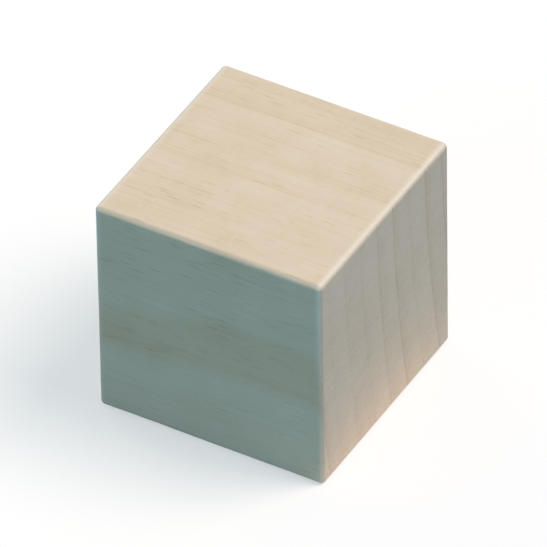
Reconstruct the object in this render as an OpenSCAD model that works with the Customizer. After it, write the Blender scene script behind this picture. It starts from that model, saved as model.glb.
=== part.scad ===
// Plain wooden cube: a loose block of pale hardwood for counting, building and craft work.
// It is sawn off a planed square strip, so its four long edges run with the grain along X,
// and the two faces that look along X show end grain. The long edges are eased on the strip,
// and the sawn edges round the end grain are sanded to a smaller radius afterwards.
// +Z is up, and the origin is the middle of the base.

/* [Block] */
// Edge length of the finished cube
side = 25.4; // [10:0.1:50]

/* [Eased edges] */
// Radius along the four long edges, which run with the grain
long_edge_r = 0.55; // [0.53:0.01:2.5]
// Radius along the eight sawn edges, round the two end-grain faces
sawn_edge_r = 0.5; // [0.2:0.01:0.52]

/* [Hidden] */
$fn = 48;

// Between the two eased long edges of a face, the face is this wide.
flat_between_long_edges = side - 2 * long_edge_r;
// The axis of each eased long edge lies this far from the middle of the block, across the grain.
long_edge_offset = side / 2 - long_edge_r;

// A rectangle with rounded corners, centred: two crossed rectangles and a disc at each corner.
module rounded_outline(width, height, corner_r) {
    square([width - 2 * corner_r, height], center = true);
    square([width, height - 2 * corner_r], center = true);
    for (x = [-1, 1], y = [-1, 1])
        translate([x * (width / 2 - corner_r), y * (height / 2 - corner_r)])
            circle(corner_r);
}

// The block between its eased long edges: a slab as long and as high as the cube, with the sawn
// edges' radius at its four corners.
module slab_between_long_edges() {
    rotate([90, 0, 0])
        linear_extrude(height = flat_between_long_edges, center = true)
            rounded_outline(side, side, sawn_edge_r);
}

// One eased long edge: a rod along the grain, whose two ends carry on the sawn edges' radius.
module long_edge_rod() {
    rotate([0, 90, 0])
        rotate_extrude()
            intersection() {
                rounded_outline(2 * long_edge_r, side, sawn_edge_r);
                translate([0, -side / 2])
                    square([long_edge_r, side]);
            }
}

// The whole cube, with the middle of its base at the origin: two crossed slabs, and a rod in
// each of the four notches that they leave along the grain.
module wooden_cube() {
    color("wheat")
        translate([0, 0, side / 2])
            union() {
                for (turn = [0, 90])
                    rotate([turn, 0, 0])
                        slab_between_long_edges();
                for (y = [-1, 1], z = [-1, 1])
                    translate([0, y * long_edge_offset, z * long_edge_offset])
                        long_edge_rod();
            }
}

wooden_cube();
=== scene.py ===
"""The looks of a loose wooden cube: a sanded block of bare, pale, fine-grained hardwood.

Lengths are in millimetres, up to the place where a mesh, a lamp or the camera is made in metres.
The wood is solid: every pattern is a function of the place inside the block, so a growth ring or
a pore that runs off one face carries on round the edge on the next.
"""

import math

import bpy
import numpy as np
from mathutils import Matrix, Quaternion, Vector, noise


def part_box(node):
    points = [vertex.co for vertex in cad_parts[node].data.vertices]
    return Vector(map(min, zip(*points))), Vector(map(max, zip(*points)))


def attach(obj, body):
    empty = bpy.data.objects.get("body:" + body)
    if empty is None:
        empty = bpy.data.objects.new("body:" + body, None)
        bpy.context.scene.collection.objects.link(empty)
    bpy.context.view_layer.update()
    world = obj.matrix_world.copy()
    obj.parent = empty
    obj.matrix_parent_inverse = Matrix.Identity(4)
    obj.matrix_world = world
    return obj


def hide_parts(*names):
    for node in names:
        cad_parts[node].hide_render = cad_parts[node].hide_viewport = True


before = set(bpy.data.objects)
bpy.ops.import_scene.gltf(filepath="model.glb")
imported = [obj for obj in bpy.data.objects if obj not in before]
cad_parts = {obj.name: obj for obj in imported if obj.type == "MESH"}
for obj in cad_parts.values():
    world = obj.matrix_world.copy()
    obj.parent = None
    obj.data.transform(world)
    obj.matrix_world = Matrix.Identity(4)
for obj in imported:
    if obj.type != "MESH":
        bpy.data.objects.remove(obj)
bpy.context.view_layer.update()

MM = 0.001  # one millimetre, in Blender's metres
NODE = "wooden_cube"

# The block. Its box comes from the frame, and its eased edges have the radii of the CAD solid.
LOW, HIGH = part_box(NODE)
SIDE = (HIGH.x - LOW.x) / MM
HALF = SIDE / 2
CENTRE = (LOW + HIGH) / 2 / MM
LONG_EDGE_R = 0.55
SAWN_EDGE_R = 0.5


# ---------------------------------------------------------------------------------------------
# The block's mesh

# How many pieces the mesh has round each eased edge and across each face.
LONG_ARC_STEPS = 5
SAWN_ARC_STEPS = 8
STEPS_ACROSS = 110
STEPS_ALONG = 112

# What hand sanding took off besides: on the edges, at the rim of a face, and on a face.
SANDED_OFF_EDGE = 0.06
SANDED_OFF_RIM = 0.018
SANDED_OFF_FACE = 0.004
# The edges' sanding is uneven: the part of SANDED_OFF_EDGE that is usual, and the lengths over
# which it varies, each with how much it varies by.
USUAL_EDGE_SANDING = 0.5
EDGE_SANDING_VARIES = [(7.0, 0.5), (1.6, 0.25)]
# The faces' sanding varies over this length.
FACE_SANDING_VARIES = 3.5
# From a face's middle to its rim, what was sanded off grows with these powers of the distance.
RIM_POWER = 6
FACE_POWER = 2
# Each seed moves the noise on by this much, in its lumps.
NOISE_SHIFT = (17.3, -9.1, 5.7)


def section_outline():
    """Points and outward normals once round the block's section across the grain, from corner
    to corner: each side is half an eased corner, the flat, and half of the next corner."""
    reach = HALF - LONG_EDGE_R
    eighth_turn = np.linspace(0, math.pi / 4, LONG_ARC_STEPS + 1)
    turns = np.concatenate([-eighth_turn[:0:-1], np.zeros(STEPS_ACROSS + 1), eighth_turn[1:-1]])
    slide = np.concatenate([
        np.full(LONG_ARC_STEPS, -reach),
        np.linspace(-reach, reach, STEPS_ACROSS + 1),
        np.full(LONG_ARC_STEPS - 1, reach),
    ])
    normals = np.stack([np.cos(turns), np.sin(turns)], axis=1)
    points = np.stack([np.full(len(slide), reach), slide], axis=1) + LONG_EDGE_R * normals
    sides_points, sides_normals = [], []
    for quarter in range(4):
        c, s = round(math.cos(quarter * math.pi / 2)), round(math.sin(quarter * math.pi / 2))
        turn = np.array([[c, s], [-s, c]])
        sides_points.append(points @ turn)
        sides_normals.append(normals @ turn)
    return np.concatenate(sides_points), np.concatenate(sides_normals)


def stations_along_grain():
    """For each loop of vertices round the grain: its place along X, how far the section shrinks
    there, and the part of the normal that points along X."""
    quarter_turn = np.linspace(0, math.pi / 2, SAWN_ARC_STEPS + 1)
    turns = np.concatenate([-quarter_turn[:0:-1], np.zeros(STEPS_ALONG + 1), quarter_turn[1:]])
    reach = HALF - SAWN_EDGE_R
    slide = np.concatenate([
        np.full(SAWN_ARC_STEPS, -reach),
        np.linspace(-reach, reach, STEPS_ALONG + 1),
        np.full(SAWN_ARC_STEPS, reach),
    ])
    return slide + SAWN_EDGE_R * np.sin(turns), SAWN_EDGE_R * (1 - np.cos(turns)), np.sin(turns)


def lay_on_border(grid, border):
    """Lays what runs once round a face's border on the border of the face's square grid."""
    n = len(grid) - 1
    grid[n, :] = border[0:n + 1]
    grid[::-1, n] = border[n:2 * n + 1]
    grid[0, ::-1] = border[2 * n:3 * n + 1]
    grid[:, 0] = np.concatenate([border[3 * n:], border[:1]])


def end_cap(border):
    """A square grid of points that fills an end face, from the points round its border: each is
    blended from the four borders that it faces."""
    n = len(border) // 4
    grid = np.zeros((n + 1, n + 1, 3))
    lay_on_border(grid, border)
    u = np.linspace(0, 1, n + 1)[:, None, None]
    v = np.linspace(0, 1, n + 1)[None, :, None]
    across = (1 - u) * grid[:1, :] + u * grid[-1:, :]
    along = (1 - v) * grid[:, :1] + v * grid[:, -1:]
    corners = (
        (1 - u) * (1 - v) * grid[0, 0] + u * (1 - v) * grid[n, 0]
        + (1 - u) * v * grid[0, n] + u * v * grid[n, n]
    )
    return across + along - corners


def block_surface():
    """The block's vertices about its middle, their outward normals, and its quads."""
    outline, outline_normals = section_outline()
    xs, shrinks, normals_x = stations_along_grain()
    around, loops = len(outline), len(xs)

    points = np.empty((loops, around, 3))
    points[:, :, 0] = xs[:, None]
    points[:, :, 1:] = outline[None] - shrinks[:, None, None] * outline_normals[None]
    normals = np.empty_like(points)
    normals[:, :, 0] = normals_x[:, None]
    normals[:, :, 1:] = np.sqrt(1 - normals_x ** 2)[:, None, None] * outline_normals[None]

    index = np.arange(loops * around).reshape(loops, around)
    ahead = np.roll(index, -1, axis=1)
    quads = [np.stack([index[:-1], ahead[:-1], ahead[1:], index[1:]], axis=-1).reshape(-1, 4)]
    all_points, all_normals = [points.reshape(-1, 3)], [normals.reshape(-1, 3)]
    count = loops * around
    for loop, way in ((0, -1), (loops - 1, 1)):
        cap = end_cap(points[loop])
        inside = cap[1:-1, 1:-1].reshape(-1, 3)
        places = np.empty(cap.shape[:2], int)
        lay_on_border(places, index[loop])
        places[1:-1, 1:-1] = (count + np.arange(len(inside))).reshape(len(cap) - 2, -1)
        count += len(inside)
        corners = [places[:-1, :-1], places[1:, :-1], places[1:, 1:], places[:-1, 1:]]
        faces = np.stack(corners, axis=-1).reshape(-1, 4)
        quads.append(faces if way > 0 else faces[:, ::-1])
        all_points.append(inside)
        all_normals.append(np.tile([way, 0.0, 0.0], (len(inside), 1)))
    return np.concatenate(all_points), np.concatenate(all_normals), np.concatenate(quads)


def smooth_noise(points, size, seed):
    """Smooth noise from about -1 to 1, whose lumps are about size millimetres wide."""
    offset = Vector([seed * shift for shift in NOISE_SHIFT])
    return np.array([noise.noise(Vector(p) / size + offset) for p in points.tolist()])


def how_turned(normals):
    """0 on a face, 1 in the middle of an edge, and a third more on a corner."""
    x2, y2, z2 = (normals ** 2).T
    return 4 * (x2 * y2 + y2 * z2 + z2 * x2)


def hand_easing(points, turned):
    """How far sanding took each point of the surface below the CAD solid, in millimetres: a
    little on the edges and corners, unevenly, and almost nothing on the faces."""
    uneven = USUAL_EDGE_SANDING
    for seed, (length, varies_by) in enumerate(EDGE_SANDING_VARIES, start=1):
        uneven = uneven + varies_by * smooth_noise(points, length, seed)
    on_edges = SANDED_OFF_EDGE * turned * np.maximum(uneven, 0)
    towards_rim = np.sort(np.abs(points), axis=1)[:, 1] / HALF
    at_rim = SANDED_OFF_RIM * towards_rim ** RIM_POWER
    face_seed = len(EDGE_SANDING_VARIES) + 1
    uneven = 1 + smooth_noise(points, FACE_SANDING_VARIES, face_seed)
    on_faces = SANDED_OFF_FACE * uneven * towards_rim ** FACE_POWER
    return on_edges + at_rim + on_faces


def build_block():
    """The cube's visible surface: a closed mesh with the CAD solid's box and edges."""
    points, normals, quads = block_surface()
    turned = how_turned(normals)
    depth = hand_easing(points, turned)
    placed = points - depth[:, None] * normals + np.array(CENTRE)
    mesh = bpy.data.meshes.new("hardwood_block")
    mesh.from_pydata((placed * MM).tolist(), [], quads.tolist())
    mesh.polygons.foreach_set("use_smooth", np.ones(len(quads), bool))
    for name, values in (("end_grain", normals[:, 0] ** 2), ("edge", turned)):
        attribute = mesh.attributes.new(name, "FLOAT", "POINT")
        attribute.data.foreach_set("value", values.astype(np.float32))
    mesh.update()
    block = bpy.data.objects.new("hardwood_block", mesh)
    bpy.context.scene.collection.objects.link(block)
    return block


# ---------------------------------------------------------------------------------------------
# Shader nodes


def grey(value):
    return (value, value, value)


class Nodes:
    """Adds nodes to one node tree. Every method but node returns an output socket, and all take
    sockets or plain numbers."""

    def __init__(self, tree):
        self.tree = tree
        tree.nodes.clear()

    def node(self, kind, inputs, **settings):
        made = self.tree.nodes.new("ShaderNode" + kind)
        for name, value in settings.items():
            setattr(made, name, value)
        for name, value in inputs.items():
            if isinstance(value, bpy.types.NodeSocket):
                self.tree.links.new(value, made.inputs[name])
            else:
                made.inputs[name].default_value = value
        return made

    def math(self, operation, a, b=0.0, c=0.0):
        return self.node("Math", {0: a, 1: b, 2: c}, operation=operation).outputs[0]

    def plus(self, a, b):
        return self.math("ADD", a, b)

    def minus(self, a, b):
        return self.math("SUBTRACT", a, b)

    def times(self, a, b):
        return self.math("MULTIPLY", a, b)

    def scaled(self, value, scale, base):
        """base, and value times scale."""
        return self.math("MULTIPLY_ADD", value, scale, base)

    def between(self, share, a, b):
        """a where share is 0, b where it is 1, and a part of each between them."""
        return self.scaled(self.minus(b, a), share, a)

    def sum_of(self, base, shares, patterns):
        """base, and each pattern times its share."""
        total = base
        for name, share in shares.items():
            total = self.plus(total, self.times(patterns[name], share))
        return total

    def vector(self, operation, a, b):
        return self.node("VectorMath", {0: a, 1: b}, operation=operation).outputs["Vector"]

    def split(self, vector):
        return self.node("SeparateXYZ", {0: vector}).outputs

    def join(self, x, y, z):
        return self.node("CombineXYZ", {0: x, 1: y, 2: z}).outputs[0]

    def lumps(self, place, sizes, detail=2.0, roughness=0.5):
        """Noise from -1 to 1 about 0, whose lumps have these sizes along the place's axes."""
        where = self.vector("DIVIDE", place, sizes)
        value = self.node(
            "TexNoise", {"Vector": where, "Scale": 1.0, "Detail": detail, "Roughness": roughness},
            noise_dimensions="3D",
        ).outputs["Fac"]
        return self.scaled(value, 2.0, -1.0)

    def marks(self, place, sizes, core, rim):
        """Scattered marks, one in each cell of these sizes: 1 up to core from the mark's middle,
        and 0 beyond rim, both in cells."""
        where = self.vector("DIVIDE", place, sizes)
        cell = self.node("TexVoronoi", {"Vector": where, "Scale": 1.0}, feature="F1")
        return self.ease(cell.outputs["Distance"], rim, core)

    def drawn(self, number):
        """A random value from 0 to 1 for each whole number."""
        return self.node("TexWhiteNoise", {"W": number}, noise_dimensions="1D").outputs["Value"]

    def wavering(self, value):
        """A smooth value from 0 to 1 that changes about once for each 1 that value grows by."""
        inputs = {"W": value, "Scale": 1.0, "Detail": 0.0}
        return self.node("TexNoise", inputs, noise_dimensions="1D").outputs["Fac"]

    def ease(self, value, start, end):
        """0 at start and beyond, 1 at end and beyond, and smooth between them."""
        return self.node(
            "MapRange", {"Value": value, "From Min": start, "From Max": end},
            interpolation_type="SMOOTHSTEP",
        ).outputs["Result"]

    def hump(self, value, start, full, still_full, end):
        """1 from full to still_full, 0 up to start and from end on, and smooth between them."""
        return self.times(self.ease(value, start, full), self.ease(value, end, still_full))

    def ramp(self, value, stops):
        """The colour at value, between stops that are (place, colour) pairs."""
        made = self.node("ValToRGB", {"Fac": value})
        ramp = made.color_ramp
        ramp.interpolation = "LINEAR"
        while len(ramp.elements) < len(stops):
            # Where a new stop starts out doesn't matter, because each gets its place below.
            ramp.elements.new(0.5)
        for element, (place, colour) in zip(ramp.elements, stops):
            element.position = place
            element.color = (*colour, 1.0)
        return made.outputs["Color"]

    def curve(self, value, stops):
        """The height at value, between stops that are (place, height) pairs. Heights and places
        run from 0 to 1."""
        return self.ramp(value, [(place, grey(height)) for place, height in stops])

    def mix(self, factor, a, b, blend="MIX"):
        inputs = {0: factor}
        for slot, colour in ((6, a), (7, b)):
            inputs[slot] = (*colour, 1.0) if isinstance(colour, tuple) else colour
        return self.node("Mix", inputs, data_type="RGBA", blend_type=blend).outputs[2]

    def attribute(self, name):
        return self.node("Attribute", {}, attribute_name=name).outputs["Fac"]

    def show(self, output, to_cube, to_camera):
        """An output that lights the cube with one shader, and shows the camera another."""
        path = self.node("LightPath", {}).outputs
        mixed = self.node("MixShader", {0: path["Is Camera Ray"], 1: to_cube, 2: to_camera})
        self.node(output, {"Surface": mixed.outputs[0]})


# ---------------------------------------------------------------------------------------------
# The wood

# The tree that the block was sawn from. The pith, the rings' centre, lies this far behind the
# block's middle, and so far above it that the rings lean by this many degrees from upright.
PITH_DISTANCE = 180.0
RING_LEAN = 6.0
# A usual year's width, and a narrow year's. The years are narrow from this far from the block's
# middle on, away from the pith.
RING_WIDTH = 3.2
NARROW_RING_WIDTH = 2.55
NARROW_YEARS_FROM = 10.5
# A year's end comes early or late by up to half of this part of a year, and this many years go
# by before early turns into late.
RING_UNEVENNESS = 0.12
UNEVEN_OVER = 2.2
# Another number here draws other years, stronger and fainter.
YEAR_DRAW = 301
# The rings' radius grows by this much for each millimetre along the grain.
GRAIN_SLOPE = 0.0078
# How far the rings stray, over what lengths along the grain and across it, and in what detail:
# in wide sweeps, and in small ripples.
RING_STRAYS = [
    (0.3, (30.0, 55.0, 55.0), 1.0),
    (0.10, (9.0, 4.0, 4.0), 2.0),
]
# The darkness of the late wood, and of the thin line that ends a year, at parts of the year.
LATE_WOOD_CURVE = [(0.0, 0.3), (0.06, 0.0), (0.45, 0.05), (0.9, 0.5), (1.0, 0.55)]
RING_LINE_CURVE = [(0.0, 0.8), (0.02, 0.0), (0.94, 0.0), (0.985, 1.0), (1.0, 0.9)]
# The faintest year's late wood and line have this much of the strongest one's strength.
FAINTEST_YEAR = 0.3
# A band of browner wood lies this far from the block's middle, away from the pith. It is full
# up to the first distance from there, and gone at the second.
BROWN_BAND = 12.77
BROWN_BAND_REACH = (0.22, 0.40)
# The wood darkens a little between these distances from the block's middle, away from the pith.
OUTER_WOOD = (0.0, 12.0)

# Soft variation of tone: the lumps' sizes along the grain and across it, detail and roughness.
SOFT_PATTERNS = {
    "fibres": ((14.0, 0.26, 0.26), 3.0, 0.6),
    "streaks": ((18.0, 1.6, 1.6), 2.0, 0.5),
    "clouds": ((10.0, 7.0, 7.0), 2.0, 0.5),
    "mottle": ((3.6, 4.2, 4.2), 2.0, 0.5),
}
# Scattered marks, one in each cell: the cells' sizes along the grain and across it, and a
# mark's core and rim as parts of a cell.
SCATTERED_MARKS = {
    "pores": ((4.5, 0.32, 0.32), 0.12, 0.25),
    "vessels": ((5.0, 0.21, 0.21), 0.15, 0.34),
    "long_pores": ((11.0, 0.8, 0.8), 0.03, 0.075),
}
# Each kind of mark is moved on by this much, so that it doesn't lie on the kind before it.
MARK_SHIFT = (3.1, 7.7, 1.9)
# Pores come and go in patches of these sizes: there are none where the patches' noise is below
# the first of these values, and they are full above the second.
PORE_PATCHES = (9.0, 2.0, 2.0)
PORE_PATCH_RANGE = (-0.6, 0.5)
# Rays run out from the pith: their cells' sizes along the trunk, out from the pith and round it,
# and a ray's core and rim.
RAYS = ((0.8, 3.5, 0.19), 0.16, 0.42)
# The surface begins to look like end grain where the squared part of its normal along the grain
# is the first of these values, and it is end grain alone above the second.
CUT_ACROSS_RANGE = (0.25, 0.85)

# Darkness runs from 0, the palest wood, to 1. Each pattern adds its share to the plain wood's.
LONG_GRAIN_DARKNESS = 0.30
LONG_GRAIN_SHARES = {
    "brown_band": 0.01, "outer_wood": 0.06, "late_wood": 0.13, "ring_line": 0.10,
    "year_tone": 0.035, "fibres": 0.24, "streaks": 0.08, "clouds": 0.14, "mottle": 0.15,
    "pores": 0.32, "long_pores": 0.26, "rays": 0.05, "edge": -0.05,
}
END_GRAIN_DARKNESS = 0.34
END_GRAIN_SHARES = {
    "brown_band": 0.08, "late_wood": 0.27, "ring_line": 0.16, "year_tone": 0.03, "fibres": 0.20,
    "streaks": 0.10, "clouds": 0.14, "pores": 0.40, "vessels": 0.16, "rays": -0.18, "edge": -0.06,
}
# The wood's colour at three darknesses, and the tint of the browner band.
LONG_GRAIN_COLOURS = [
    (0.0, (0.80, 0.69, 0.545)),
    (0.45, (0.70, 0.575, 0.425)),
    (1.0, (0.53, 0.365, 0.215)),
]
END_GRAIN_COLOURS = [
    (0.0, (0.70, 0.62, 0.52)),
    (0.45, (0.605, 0.52, 0.425)),
    (1.0, (0.40, 0.29, 0.20)),
]
BROWN_TINT = (1.0, 0.95, 0.915)
# The sawn edges' paler rim, partly burnished by sanding and partly a painted highlight: its
# colour and strength, how far it reaches in from the end (full, gone), the heights at which it is
# faintest and full, and its strength when faintest. Its growth towards the upper edges is painted
# highlight.
SANDED_EDGE_AND_HIGHLIGHT_COLOUR = (0.84, 0.77, 0.67)
SANDED_EDGE_AND_HIGHLIGHT_STRENGTH = 0.6
SANDED_EDGE_AND_HIGHLIGHT_REACH = (0.30, 0.95)
EDGE_HIGHLIGHT_HEIGHTS = (-2.0, 11.0)
FAINTEST_EDGE_HIGHLIGHT = 0.25

# What a fingertip would feel: how far each pattern rises, in millimetres, and the sizes of the
# sanding scratches on the long grain and on the end grain.
RELIEF = {"pits": -0.014, "fibres": 0.003, "scratches": 0.0015, "late_wood": 0.004}
SCRATCHES_ALONG = (9.0, 0.12, 0.12)
SCRATCHES_ON_END = (0.5, 0.14, 4.0)
ROUGHNESS = 0.56
ROUGHNESS_SHARES = {"cut_across": 0.12, "fibres": 0.05, "pores": 0.12, "sanded_edge_and_highlight": -0.14}
WOOD_IOR = 1.45


def growth_rings(n, place):
    """The patterns that follow the tree: each year's late wood, the thin line that ends it, its
    own tone, the browner band, the darker outer wood, and the rays that run out from the pith."""
    x, y, z = n.split(place)
    lean = math.radians(RING_LEAN)
    from_pith_y = n.minus(PITH_DISTANCE * math.cos(lean), y)
    from_pith_z = n.minus(PITH_DISTANCE * math.sin(lean), z)
    squares = n.plus(n.times(from_pith_y, from_pith_y), n.times(from_pith_z, from_pith_z))
    radius = n.math("SQRT", squares)
    round_trunk = n.times(n.math("ARCTAN2", from_pith_z, from_pith_y), PITH_DISTANCE)

    grown = n.plus(radius, n.times(x, GRAIN_SLOPE))
    for amount, sizes, detail in RING_STRAYS:
        grown = n.plus(grown, n.times(n.lumps(place, sizes, detail), amount))
    # The count of years is the steeper line on the outer side, and the flatter one within.
    outward = n.minus(grown, PITH_DISTANCE + NARROW_YEARS_FROM)
    usual_years = n.times(outward, 1 / RING_WIDTH)
    narrow_years = n.times(outward, 1 / NARROW_RING_WIDTH)
    years = n.math("MAXIMUM", usual_years, narrow_years)
    pace = n.wavering(n.times(years, 1 / UNEVEN_OVER))
    years = n.plus(years, n.times(n.minus(pace, 0.5), RING_UNEVENNESS))
    in_year = n.math("FRACT", years)
    year = n.plus(n.math("FLOOR", years), YEAR_DRAW)

    # Half a year on, the draw is another one than the year's tone gets.
    strength = n.scaled(n.drawn(n.plus(year, 0.5)), 1 - FAINTEST_YEAR, FAINTEST_YEAR)
    from_band = n.math("ABSOLUTE", n.minus(grown, PITH_DISTANCE + BROWN_BAND))
    full, gone = BROWN_BAND_REACH
    return {
        "late_wood": n.times(n.curve(in_year, LATE_WOOD_CURVE), strength),
        "ring_line": n.times(n.curve(in_year, RING_LINE_CURVE), strength),
        "year_tone": n.scaled(n.drawn(year), 2.0, -1.0),
        "brown_band": n.ease(from_band, gone, full),
        "outer_wood": n.ease(n.minus(grown, PITH_DISTANCE), *OUTER_WOOD),
        "rays": n.marks(n.join(x, radius, round_trunk), *RAYS),
    }


def sanded_edge_and_highlight(n, x, z, cut_across):
    """Where the sawn edges are paler and a little burnished from sanding, with a painted
    highlight in the same colour that is strongest on the upper edges, where the light catches
    them.
    """
    full, gone = SANDED_EDGE_AND_HIGHLIGHT_REACH
    near_end = n.ease(n.minus(HALF, n.math("ABSOLUTE", x)), gone, full)
    on_long_grain = n.times(near_end, n.minus(1.0, cut_across))
    # Painted highlight: the rim grows stronger towards the upper edges, where the light catches
    # them.
    highlit = n.ease(z, *EDGE_HIGHLIGHT_HEIGHTS)
    return n.times(on_long_grain, n.between(highlit, FAINTEST_EDGE_HIGHLIGHT, 1.0))


def hardwood():
    """Bare, sanded, pale hardwood with growth rings, fibres, pores and rays."""
    material = bpy.data.materials.new("bare_hardwood")
    material.use_nodes = True
    n = Nodes(material.node_tree)

    # The place in the block, in millimetres about its middle.
    object_place = n.node("TexCoord", {}).outputs["Object"]
    place = n.vector("MULTIPLY", object_place, grey(1 / MM))
    place = n.vector("SUBTRACT", place, tuple(CENTRE))
    x, _, z = n.split(place)

    patterns = growth_rings(n, place)
    for name, settings in SOFT_PATTERNS.items():
        patterns[name] = n.lumps(place, *settings)
    for number, (name, settings) in enumerate(SCATTERED_MARKS.items()):
        shifted = n.vector("ADD", place, tuple(number * shift for shift in MARK_SHIFT))
        patterns[name] = n.marks(shifted, *settings)
    in_patches = n.ease(n.lumps(place, PORE_PATCHES, 1.0), *PORE_PATCH_RANGE)
    patterns["pores"] = n.times(patterns["pores"], in_patches)
    patterns["edge"] = n.attribute("edge")
    patterns["cut_across"] = n.ease(n.attribute("end_grain"), *CUT_ACROSS_RANGE)
    cut_across = patterns["cut_across"]
    patterns["sanded_edge_and_highlight"] = sanded_edge_and_highlight(n, x, z, cut_across)

    long_dark = n.sum_of(LONG_GRAIN_DARKNESS, LONG_GRAIN_SHARES, patterns)
    end_dark = n.sum_of(END_GRAIN_DARKNESS, END_GRAIN_SHARES, patterns)
    long_colour = n.ramp(long_dark, LONG_GRAIN_COLOURS)
    long_colour = n.mix(patterns["brown_band"], long_colour, BROWN_TINT, "MULTIPLY")
    colour = n.mix(cut_across, long_colour, n.ramp(end_dark, END_GRAIN_COLOURS))
    # The sawn edges' paler rim: partly the sanding's burnish, partly a painted highlight.
    pale_edge_and_highlight = n.times(patterns["sanded_edge_and_highlight"], SANDED_EDGE_AND_HIGHLIGHT_STRENGTH)
    colour = n.mix(pale_edge_and_highlight, colour, SANDED_EDGE_AND_HIGHLIGHT_COLOUR)

    patterns["pits"] = n.math("MAXIMUM", patterns["pores"], patterns["long_pores"])
    along, on_end = n.lumps(place, SCRATCHES_ALONG), n.lumps(place, SCRATCHES_ON_END)
    patterns["scratches"] = n.between(cut_across, along, on_end)
    # The relief is in millimetres, so a height of 1 is one of them.
    height = n.sum_of(0.0, RELIEF, patterns)
    bump = n.node("Bump", {"Height": height, "Distance": MM, "Strength": 1.0})
    shader = n.node("BsdfPrincipled", {
        "Base Color": colour,
        "Roughness": n.sum_of(ROUGHNESS, ROUGHNESS_SHARES, patterns),
        "Normal": bump.outputs["Normal"],
        "IOR": WOOD_IOR,
    })
    n.node("OutputMaterial", {"Surface": shader.outputs[0]})
    return material


# ---------------------------------------------------------------------------------------------
# The studio

WHITE = (1.0, 1.0, 1.0, 1.0)
FLOOR_HALF_SIZE = 1500.0
# To the camera the floor is this much plain white, and the rest of it takes the cube's shadow.
FLOOR_WHITENED = 0.5
# What the floor throws back on the cube, as painted bounce light in a colour that only the cube
# sees:
# far from it, brighter beside it, and warm beside its right-hand end.
FAR_FLOOR = (0.15, 0.295, 0.365)
FLOOR_BESIDE = (0.32, 0.46, 0.54)
FLOOR_BESIDE_END = (1.0, 0.84, 0.69)
# How far out from its sides the floor counts as beside the cube, fully and at all.
BESIDE_REACH = (2.0, 13.0)
# The strip beside the right-hand end, as places along X and along Y: its start, where it is
# full, up to where it is full, and its end.
STRIP_OUT = (HALF - 1.0, HALF + 1.0, HALF + 1.0, HALF + 12.0)
STRIP_ALONG = (-HALF - 4.0, -HALF + 2.0, 0.2 * HALF, HALF + 6.0)
AMBIENT_COLOUR = (0.571, 0.857, 1.0, 1.0)
AMBIENT_LEVEL = 0.42
# In metres: how far off the lamps stand, which changes nothing in a sun's light, and the nearest
# and farthest that the camera sees.
LAMP_DISTANCE = 0.5
CAMERA_SEES = (0.01, 10.0)
# The width of the camera's film, in millimetres.
FILM_WIDTH = 36.0


def floor_material():
    """A pale floor that the camera sees as white, with the cube's shadow softened. What it throws
    back on the cube is painted bounce light: dimmer, brighter beside the cube, and warmer beside
    the right-hand end."""
    material = bpy.data.materials.new("pale_floor")
    material.use_nodes = True
    n = Nodes(material.node_tree)
    lit = n.node("BsdfDiffuse", {"Color": WHITE}).outputs[0]
    white = n.node("Emission", {"Color": WHITE, "Strength": 1.0}).outputs[0]
    seen = n.node("MixShader", {0: FLOOR_WHITENED, 1: lit, 2: white}).outputs[0]
    place = n.vector("MULTIPLY", n.node("TexCoord", {}).outputs["Object"], grey(1 / MM))
    x, y, _ = n.split(place)
    from_middle = n.math("MAXIMUM", n.math("ABSOLUTE", x), n.math("ABSOLUTE", y))
    full, gone = BESIDE_REACH
    # Painted bounce light: the floor's colour is brighter beside the cube and warm in a strip
    # beside its right-hand end.
    beside = n.ease(from_middle, HALF + gone, HALF + full)
    beside_end = n.times(n.hump(x, *STRIP_OUT), n.hump(y, *STRIP_ALONG))
    thrown_back = n.mix(beside, FAR_FLOOR, FLOOR_BESIDE)
    thrown_back = n.mix(beside_end, thrown_back, FLOOR_BESIDE_END)
    felt = n.node("BsdfDiffuse", {"Color": thrown_back}).outputs[0]
    n.show("OutputMaterial", to_cube=felt, to_camera=seen)
    return material


def build_floor():
    reach = FLOOR_HALF_SIZE * MM
    signs = ((-1, -1), (1, -1), (1, 1), (-1, 1))
    corners = [(x * reach, y * reach, 0.0) for x, y in signs]
    mesh = bpy.data.meshes.new("floor")
    mesh.from_pydata(corners, [], [(0, 1, 2, 3)])
    mesh.materials.append(floor_material())
    floor = bpy.data.objects.new("floor", mesh)
    bpy.context.scene.collection.objects.link(floor)


def build_world():
    """White behind the cube, and a soft cool light all round it."""
    world = bpy.data.worlds.new("studio")
    world.use_nodes = True
    bpy.context.scene.world = world
    n = Nodes(world.node_tree)
    ambient = n.node("Background", {"Color": AMBIENT_COLOUR, "Strength": AMBIENT_LEVEL})
    white = n.node("Background", {"Color": WHITE, "Strength": 1.0})
    n.show("OutputWorld", to_cube=ambient.outputs[0], to_camera=white.outputs[0])


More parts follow.
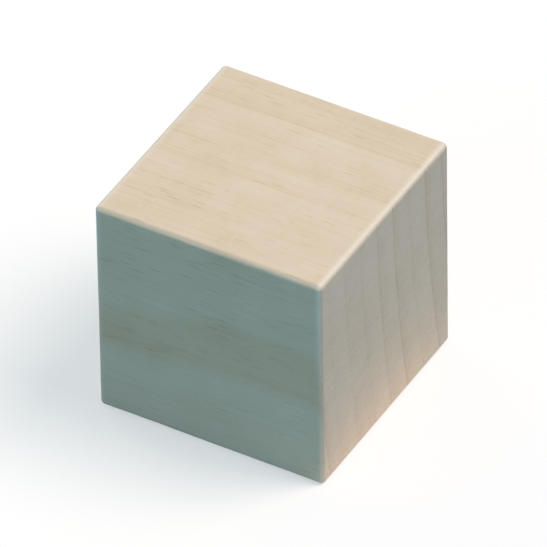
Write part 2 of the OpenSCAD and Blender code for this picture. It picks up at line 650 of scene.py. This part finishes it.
def direction(azimuth, elevation):
    """The way from the cube to what stands at these angles: azimuth 0 is in front of it, and 90
    is on its right."""
    a, e = math.radians(azimuth), math.radians(elevation)
    return Vector((math.sin(a) * math.cos(e), -math.cos(a) * math.cos(e), math.sin(e)))


def build_sun(name, azimuth, elevation, level, colour, spread):
    """A soft lamp far away. level is the light that it throws on a surface facing it, where 1
    shows white as white."""
    light = bpy.data.lights.new(name, "SUN")
    light.energy = level * math.pi
    light.color = colour
    light.angle = math.radians(spread)
    lamp = bpy.data.objects.new(name, light)
    towards = direction(azimuth, elevation)
    lamp.rotation_mode = "QUATERNION"
    lamp.rotation_quaternion = towards.to_track_quat("Z", "Y")
    lamp.location = towards * LAMP_DISTANCE
    bpy.context.scene.collection.objects.link(lamp)


def build_camera(azimuth, elevation, roll, distance, fill):
    """Puts the cube's middle in the middle of the picture. distance is in millimetres, and fill
    is the cube's height as a part of the picture's."""
    data = bpy.data.cameras.new("camera")
    camera = bpy.data.objects.new("camera", data)
    back = direction(azimuth, elevation)
    a, e = math.radians(azimuth), math.radians(elevation)
    seen_height = SIDE * (math.cos(e) + math.sin(e) * (math.cos(a) + math.sin(a)))
    data.sensor_width = FILM_WIDTH
    data.lens = FILM_WIDTH * distance / (seen_height / fill)
    data.clip_start, data.clip_end = CAMERA_SEES
    camera.rotation_mode = "QUATERNION"
    camera.location = (CENTRE + back * distance) * MM
    rolled = Quaternion((0, 0, 1), math.radians(-roll))
    camera.rotation_quaternion = back.to_track_quat("Z", "Y") @ rolled
    bpy.context.scene.collection.objects.link(camera)
    bpy.context.scene.camera = camera


block = build_block()
block.data.materials.append(hardwood())
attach(block, "root")
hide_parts(NODE)

# The warm key and the cool light round it add up to white on a face that looks straight up.
build_floor()
build_world()
build_sun("key", azimuth=120, elevation=57, level=0.816, colour=(1.0, 0.826, 0.745), spread=35)
build_sun("fill", azimuth=-15, elevation=10, level=0.19, colour=(0.50, 0.77, 1.0), spread=60)
build_sun("side", azimuth=250, elevation=12, level=0.3, colour=(1.0, 0.82, 0.62), spread=40)
build_camera(azimuth=30.5, elevation=40.3, roll=1.0, distance=45 * SIDE, fill=0.78)
bpy.context.scene.view_settings.view_transform = "Standard"
